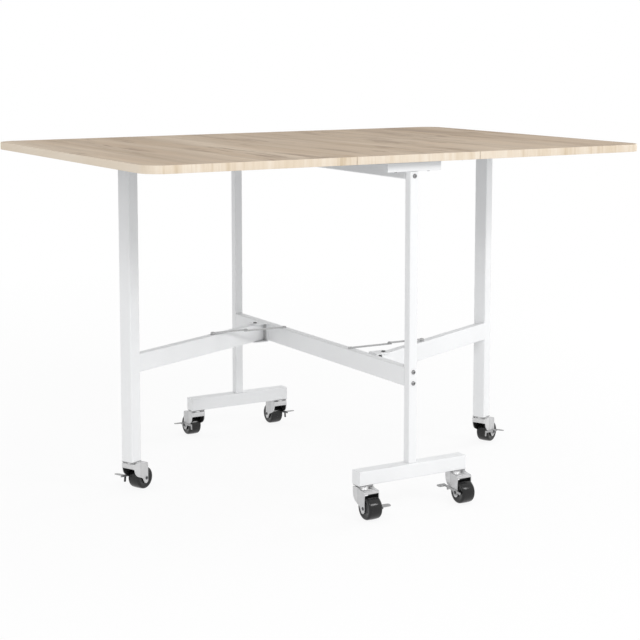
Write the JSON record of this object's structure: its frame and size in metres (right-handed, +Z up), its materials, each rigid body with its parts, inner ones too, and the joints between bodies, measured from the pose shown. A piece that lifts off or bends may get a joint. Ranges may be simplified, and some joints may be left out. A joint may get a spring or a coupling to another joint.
{
  "type": "folding dining table",
  "caption": "Folding dining table with an oak-look drop-leaf top on a white steel frame, swinging gate legs and braked swivel casters.",
  "frame": {"origin": "on the floor under the middle of the top", "axes": "+X along the length of the open top, +Y along the middle frame away from the near end, +Z up"},
  "size_m": [1.205, 0.871, 0.74],
  "materials": {
    "oak_laminate": "pale oak-look laminate on particle board with straight grain",
    "white_powder_coat": "satin white powder coat",
    "dark_bolt_steel": "dark grey bolt steel",
    "stay_steel": "grey zinc-plated sheet",
    "zinc_steel": "bright zinc-plated pressed sheet",
    "bright_steel": "polished swivel head and stem",
    "black_tread": "black moulded caster wheel with a soft sheen"
  },
  "bodies": {
    "frame": {"middle_panel": "oak_laminate", "upper_beam": "white_powder_coat", "stretcher": "white_powder_coat", "post_near": "white_powder_coat", "foot_near": "white_powder_coat", "top_bar_near": "white_powder_coat", "bolt_near_1": "dark_bolt_steel", "bolt_near_2": "dark_bolt_steel", "bolt_near_3": "dark_bolt_steel", "post_far": "white_powder_coat", "foot_far": "white_powder_coat", "top_bar_far": "white_powder_coat", "bolt_far_1": "dark_bolt_steel", "bolt_far_2": "dark_bolt_steel", "bolt_far_3": "dark_bolt_steel", "bracket_left": "white_powder_coat", "pivot_pin_left": "dark_bolt_steel", "hinge_left_near_fixed": "stay_steel", "hinge_left_far_fixed": "stay_steel", "bracket_right": "white_powder_coat", "pivot_pin_right": "dark_bolt_steel", "hinge_right_near_fixed": "stay_steel", "hinge_right_far_fixed": "stay_steel", "mount_near_left": "bright_steel", "mount_near_right": "bright_steel", "mount_far_left": "bright_steel", "mount_far_right": "bright_steel"},
    "leaf_left": {"leaf_left": "oak_laminate", "hinge_left_near_moving": "stay_steel", "hinge_left_far_moving": "stay_steel"},
    "gate_left": {"gate_left": "white_powder_coat", "mount_gate_left": "bright_steel"},
    "stay_left_inner": {"stay_left_inner": "stay_steel"},
    "stay_left_outer": {"stay_left_outer": "stay_steel"},
    "leaf_right": {"leaf_right": "oak_laminate", "hinge_right_near_moving": "stay_steel", "hinge_right_far_moving": "stay_steel"},
    "gate_right": {"gate_right": "white_powder_coat", "mount_gate_right": "bright_steel"},
    "stay_right_inner": {"stay_right_inner": "stay_steel"},
    "stay_right_outer": {"stay_right_outer": "stay_steel"},
    "fork_near_left": {"fork_near_left": "zinc_steel"},
    "wheel_near_left": {"wheel_near_left": "black_tread"},
    "lever_near_left": {"lever_near_left": "zinc_steel"},
    "fork_near_right": {"fork_near_right": "zinc_steel"},
    "wheel_near_right": {"wheel_near_right": "black_tread"},
    "lever_near_right": {"lever_near_right": "zinc_steel"},
    "fork_far_left": {"fork_far_left": "zinc_steel"},
    "wheel_far_left": {"wheel_far_left": "black_tread"},
    "lever_far_left": {"lever_far_left": "zinc_steel"},
    "fork_far_right": {"fork_far_right": "zinc_steel"},
    "wheel_far_right": {"wheel_far_right": "black_tread"},
    "lever_far_right": {"lever_far_right": "zinc_steel"},
    "fork_gate_left": {"fork_gate_left": "zinc_steel"},
    "wheel_gate_left": {"wheel_gate_left": "black_tread"},
    "lever_gate_left": {"lever_gate_left": "zinc_steel"},
    "fork_gate_right": {"fork_gate_right": "zinc_steel"},
    "wheel_gate_right": {"wheel_gate_right": "black_tread"},
    "lever_gate_right": {"lever_gate_right": "zinc_steel"}
  },
  "joints": [
    {"name": "leaf_left_lift", "type": "hinge", "parent": "frame", "child": "leaf_left", "pos_m": [-0.15, 0, 0.7207], "axis": [0, 1, 0], "range_deg": [0, 2]},
    {"name": "gate_left_swing", "type": "hinge", "parent": "frame", "child": "gate_left", "pos_m": [-0.03666, 0.2232, 0.277], "axis": [0, 0, 1], "range_deg": [0, 65.1]},
    {"name": "stay_left_inner_turn", "type": "hinge", "parent": "frame", "child": "stay_left_inner", "pos_m": [0, 0.147, 0.298], "axis": [0, 0, 1], "range_deg": [0, 18.6]},
    {"name": "stay_left_outer_turn", "type": "hinge", "parent": "gate_left", "child": "stay_left_outer", "pos_m": [-0.18451, 0.15457, 0.3], "axis": [0, 0, 1], "range_deg": [0, 73]},
    {"name": "leaf_right_lift", "type": "hinge", "parent": "frame", "child": "leaf_right", "pos_m": [0.15, 0, 0.7207], "axis": [0, -1, 0], "range_deg": [0, 2]},
    {"name": "gate_right_swing", "type": "hinge", "parent": "frame", "child": "gate_right", "pos_m": [0.03666, -0.2232, 0.277], "axis": [0, 0, 1], "range_deg": [0, 65.1]},
    {"name": "stay_right_inner_turn", "type": "hinge", "parent": "frame", "child": "stay_right_inner", "pos_m": [0, -0.147, 0.298], "axis": [0, 0, 1], "range_deg": [0, 18.6]},
    {"name": "stay_right_outer_turn", "type": "hinge", "parent": "gate_right", "child": "stay_right_outer", "pos_m": [0.18451, -0.15457, 0.3], "axis": [0, 0, 1], "range_deg": [0, 73]},
    {"name": "caster_near_left_swivel", "type": "hinge", "parent": "frame", "child": "fork_near_left", "pos_m": [-0.1155, -0.383, 0.056], "axis": [0, 0, 1], "continuous": true},
    {"name": "caster_near_left_roll", "type": "hinge", "parent": "fork_near_left", "child": "wheel_near_left", "pos_m": [-0.1155, -0.411, 0.0245], "axis": [1, 0, 0], "continuous": true},
    {"name": "caster_near_left_brake", "type": "hinge", "parent": "fork_near_left", "child": "lever_near_left", "pos_m": [-0.1155, -0.411, 0.0245], "axis": [1, 0, 0], "range_deg": [0, 12]},
    {"name": "caster_near_right_swivel", "type": "hinge", "parent": "frame", "child": "fork_near_right", "pos_m": [0.1155, -0.383, 0.056], "axis": [0, 0, 1], "continuous": true},
    {"name": "caster_near_right_roll", "type": "hinge", "parent": "fork_near_right", "child": "wheel_near_right", "pos_m": [0.1155, -0.411, 0.0245], "axis": [1, 0, 0], "continuous": true},
    {"name": "caster_near_right_brake", "type": "hinge", "parent": "fork_near_right", "child": "lever_near_right", "pos_m": [0.1155, -0.411, 0.0245], "axis": [-1, 0, 0], "range_deg": [0, 12]},
    {"name": "caster_far_left_swivel", "type": "hinge", "parent": "frame", "child": "fork_far_left", "pos_m": [-0.1155, 0.383, 0.056], "axis": [0, 0, 1], "continuous": true},
    {"name": "caster_far_left_roll", "type": "hinge", "parent": "fork_far_left", "child": "wheel_far_left", "pos_m": [-0.1155, 0.411, 0.0245], "axis": [-1, 0, 0], "continuous": true},
    {"name": "caster_far_left_brake", "type": "hinge", "parent": "fork_far_left", "child": "lever_far_left", "pos_m": [-0.1155, 0.411, 0.0245], "axis": [-1, 0, 0], "range_deg": [0, 12]},
    {"name": "caster_far_right_swivel", "type": "hinge", "parent": "frame", "child": "fork_far_right", "pos_m": [0.1155, 0.383, 0.056], "axis": [0, 0, 1], "continuous": true},
    {"name": "caster_far_right_roll", "type": "hinge", "parent": "fork_far_right", "child": "wheel_far_right", "pos_m": [0.1155, 0.411, 0.0245], "axis": [-1, 0, 0], "continuous": true},
    {"name": "caster_far_right_brake", "type": "hinge", "parent": "fork_far_right", "child": "lever_far_right", "pos_m": [0.1155, 0.411, 0.0245], "axis": [1, 0, 0], "range_deg": [0, 12]},
    {"name": "caster_gate_left_swivel", "type": "hinge", "parent": "gate_left", "child": "fork_gate_left", "pos_m": [-0.44726, 0.02709, 0.056], "axis": [0, 0, 1], "continuous": true},
    {"name": "caster_gate_left_roll", "type": "hinge", "parent": "fork_gate_left", "child": "wheel_gate_left", "pos_m": [-0.42186, 0.03888, 0.0245], "axis": [-0.421, 0.907, 0], "continuous": true},
    {"name": "caster_gate_left_brake", "type": "hinge", "parent": "fork_gate_left", "child": "lever_gate_left", "pos_m": [-0.42186, 0.03888, 0.0245], "axis": [0.421, -0.907, 0], "range_deg": [0, 12]},
    {"name": "caster_gate_right_swivel", "type": "hinge", "parent": "gate_right", "child": "fork_gate_right", "pos_m": [0.44726, -0.02709, 0.056], "axis": [0, 0, 1], "continuous": true},
    {"name": "caster_gate_right_roll", "type": "hinge", "parent": "fork_gate_right", "child": "wheel_gate_right", "pos_m": [0.47266, -0.0153, 0.0245], "axis": [-0.421, 0.907, 0], "continuous": true},
    {"name": "caster_gate_right_brake", "type": "hinge", "parent": "fork_gate_right", "child": "lever_gate_right", "pos_m": [0.47266, -0.0153, 0.0245], "axis": [-0.421, 0.907, 0], "range_deg": [0, 12]}
  ],
  "couplings": [
    {"joint": "stay_left_inner_turn", "follows": "gate_left_swing", "ratio": 0.28415},
    {"joint": "stay_left_outer_turn", "follows": "gate_left_swing", "ratio": 1.1187},
    {"joint": "stay_right_inner_turn", "follows": "gate_right_swing", "ratio": 0.28415},
    {"joint": "stay_right_outer_turn", "follows": "gate_right_swing", "ratio": 1.1187}
  ]
}
